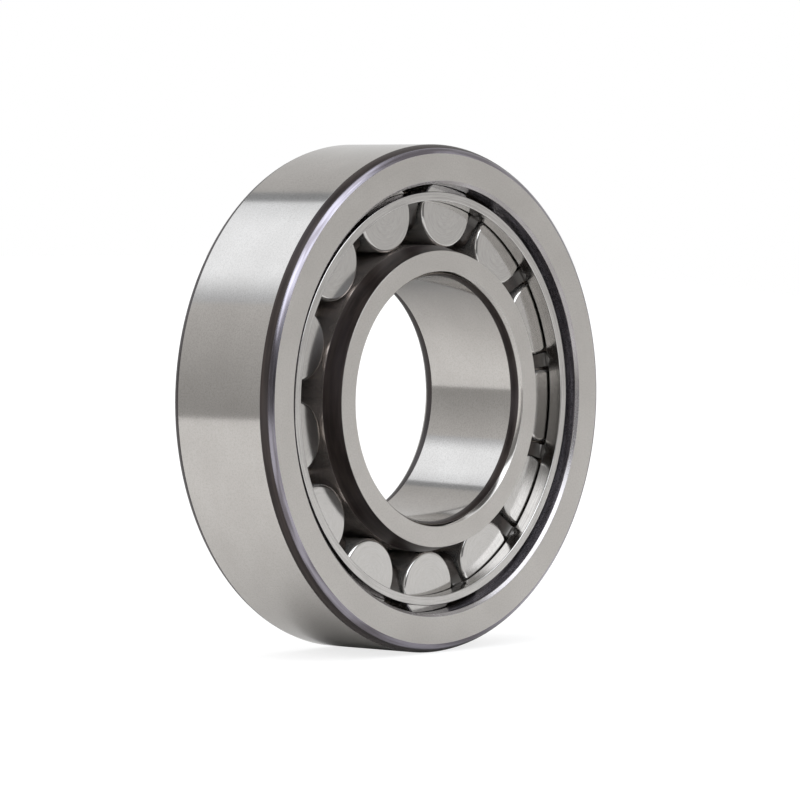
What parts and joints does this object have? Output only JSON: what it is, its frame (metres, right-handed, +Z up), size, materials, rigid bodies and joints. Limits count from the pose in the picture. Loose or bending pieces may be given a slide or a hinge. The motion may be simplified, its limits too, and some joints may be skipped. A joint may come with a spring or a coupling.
{
  "type": "cylindrical roller bearing",
  "caption": "Cylindrical roller bearing with a two-flange outer ring, a plain inner ring with lead-in tapers, and a window cage of pressed sheet steel between the rollers.",
  "frame": {"origin": "centre of the bearing, on its axis and half way through its width", "axes": "+Y along the bearing axis, towards the back face; +Z up; the front face looks to -Y"},
  "size_m": [0.062, 0.016, 0.062],
  "materials": {
    "ring_steel": "ground bearing steel, satin, with dark unground corners",
    "roller_steel": "fine-ground bearing steel with honed sides",
    "cage_steel": "pressed and tumbled sheet steel"
  },
  "bodies": {
    "outer_ring": {"outer_ring": "ring_steel"},
    "inner_ring": {"inner_ring": "ring_steel"},
    "cage": {"cage": "cage_steel"},
    "roller_01": {"roller_01": "roller_steel"},
    "roller_02": {"roller_02": "roller_steel"},
    "roller_03": {"roller_03": "roller_steel"},
    "roller_04": {"roller_04": "roller_steel"},
    "roller_05": {"roller_05": "roller_steel"},
    "roller_06": {"roller_06": "roller_steel"},
    "roller_07": {"roller_07": "roller_steel"},
    "roller_08": {"roller_08": "roller_steel"},
    "roller_09": {"roller_09": "roller_steel"},
    "roller_10": {"roller_10": "roller_steel"},
    "roller_11": {"roller_11": "roller_steel"},
    "roller_12": {"roller_12": "roller_steel"},
    "roller_13": {"roller_13": "roller_steel"}
  },
  "joints": [
    {"name": "inner_ring_spin", "type": "hinge", "parent": "outer_ring", "child": "inner_ring", "pos_m": [0, 0, 0], "axis": [0, 1, 0], "continuous": true},
    {"name": "cage_spin", "type": "hinge", "parent": "outer_ring", "child": "cage", "pos_m": [0, 0, 0], "axis": [0, 1, 0], "continuous": true},
    {"name": "roller_01_spin", "type": "hinge", "parent": "cage", "child": "roller_01", "pos_m": [0.02131, 0, 0.00931], "axis": [0, 1, 0], "continuous": true},
    {"name": "roller_02_spin", "type": "hinge", "parent": "cage", "child": "roller_02", "pos_m": [0.01454, 0, 0.01814], "axis": [0, 1, 0], "continuous": true},
    {"name": "roller_03_spin", "type": "hinge", "parent": "cage", "child": "roller_03", "pos_m": [0.00444, 0, 0.02282], "axis": [0, 1, 0], "continuous": true},
    {"name": "roller_04_spin", "type": "hinge", "parent": "cage", "child": "roller_04", "pos_m": [-0.00667, 0, 0.02227], "axis": [0, 1, 0], "continuous": true},
    {"name": "roller_05_spin", "type": "hinge", "parent": "cage", "child": "roller_05", "pos_m": [-0.01626, 0, 0.01662], "axis": [0, 1, 0], "continuous": true},
    {"name": "roller_06_spin", "type": "hinge", "parent": "cage", "child": "roller_06", "pos_m": [-0.02212, 0, 0.00716], "axis": [0, 1, 0], "continuous": true},
    {"name": "roller_07_spin", "type": "hinge", "parent": "cage", "child": "roller_07", "pos_m": [-0.02291, 0, -0.00394], "axis": [0, 1, 0], "continuous": true},
    {"name": "roller_08_spin", "type": "hinge", "parent": "cage", "child": "roller_08", "pos_m": [-0.01846, 0, -0.01414], "axis": [0, 1, 0], "continuous": true},
    {"name": "roller_09_spin", "type": "hinge", "parent": "cage", "child": "roller_09", "pos_m": [-0.00977, 0, -0.0211], "axis": [0, 1, 0], "continuous": true},
    {"name": "roller_10_spin", "type": "hinge", "parent": "cage", "child": "roller_10", "pos_m": [0.00115, 0, -0.02322], "axis": [0, 1, 0], "continuous": true},
    {"name": "roller_11_spin", "type": "hinge", "parent": "cage", "child": "roller_11", "pos_m": [0.01181, 0, -0.02003], "axis": [0, 1, 0], "continuous": true},
    {"name": "roller_12_spin", "type": "hinge", "parent": "cage", "child": "roller_12", "pos_m": [0.01976, 0, -0.01225], "axis": [0, 1, 0], "continuous": true},
    {"name": "roller_13_spin", "type": "hinge", "parent": "cage", "child": "roller_13", "pos_m": [0.02319, 0, -0.00166], "axis": [0, 1, 0], "continuous": true}
  ],
  "couplings": [
    {"joint": "cage_spin", "follows": "inner_ring_spin", "ratio": 0.40323},
    {"joint": "roller_01_spin", "follows": "inner_ring_spin", "ratio": -2.4866},
    {"joint": "roller_02_spin", "follows": "inner_ring_spin", "ratio": -2.4866},
    {"joint": "roller_03_spin", "follows": "inner_ring_spin", "ratio": -2.4866},
    {"joint": "roller_04_spin", "follows": "inner_ring_spin", "ratio": -2.4866},
    {"joint": "roller_05_spin", "follows": "inner_ring_spin", "ratio": -2.4866},
    {"joint": "roller_06_spin", "follows": "inner_ring_spin", "ratio": -2.4866},
    {"joint": "roller_07_spin", "follows": "inner_ring_spin", "ratio": -2.4866},
    {"joint": "roller_08_spin", "follows": "inner_ring_spin", "ratio": -2.4866},
    {"joint": "roller_09_spin", "follows": "inner_ring_spin", "ratio": -2.4866},
    {"joint": "roller_10_spin", "follows": "inner_ring_spin", "ratio": -2.4866},
    {"joint": "roller_11_spin", "follows": "inner_ring_spin", "ratio": -2.4866},
    {"joint": "roller_12_spin", "follows": "inner_ring_spin", "ratio": -2.4866},
    {"joint": "roller_13_spin", "follows": "inner_ring_spin", "ratio": -2.4866}
  ]
}
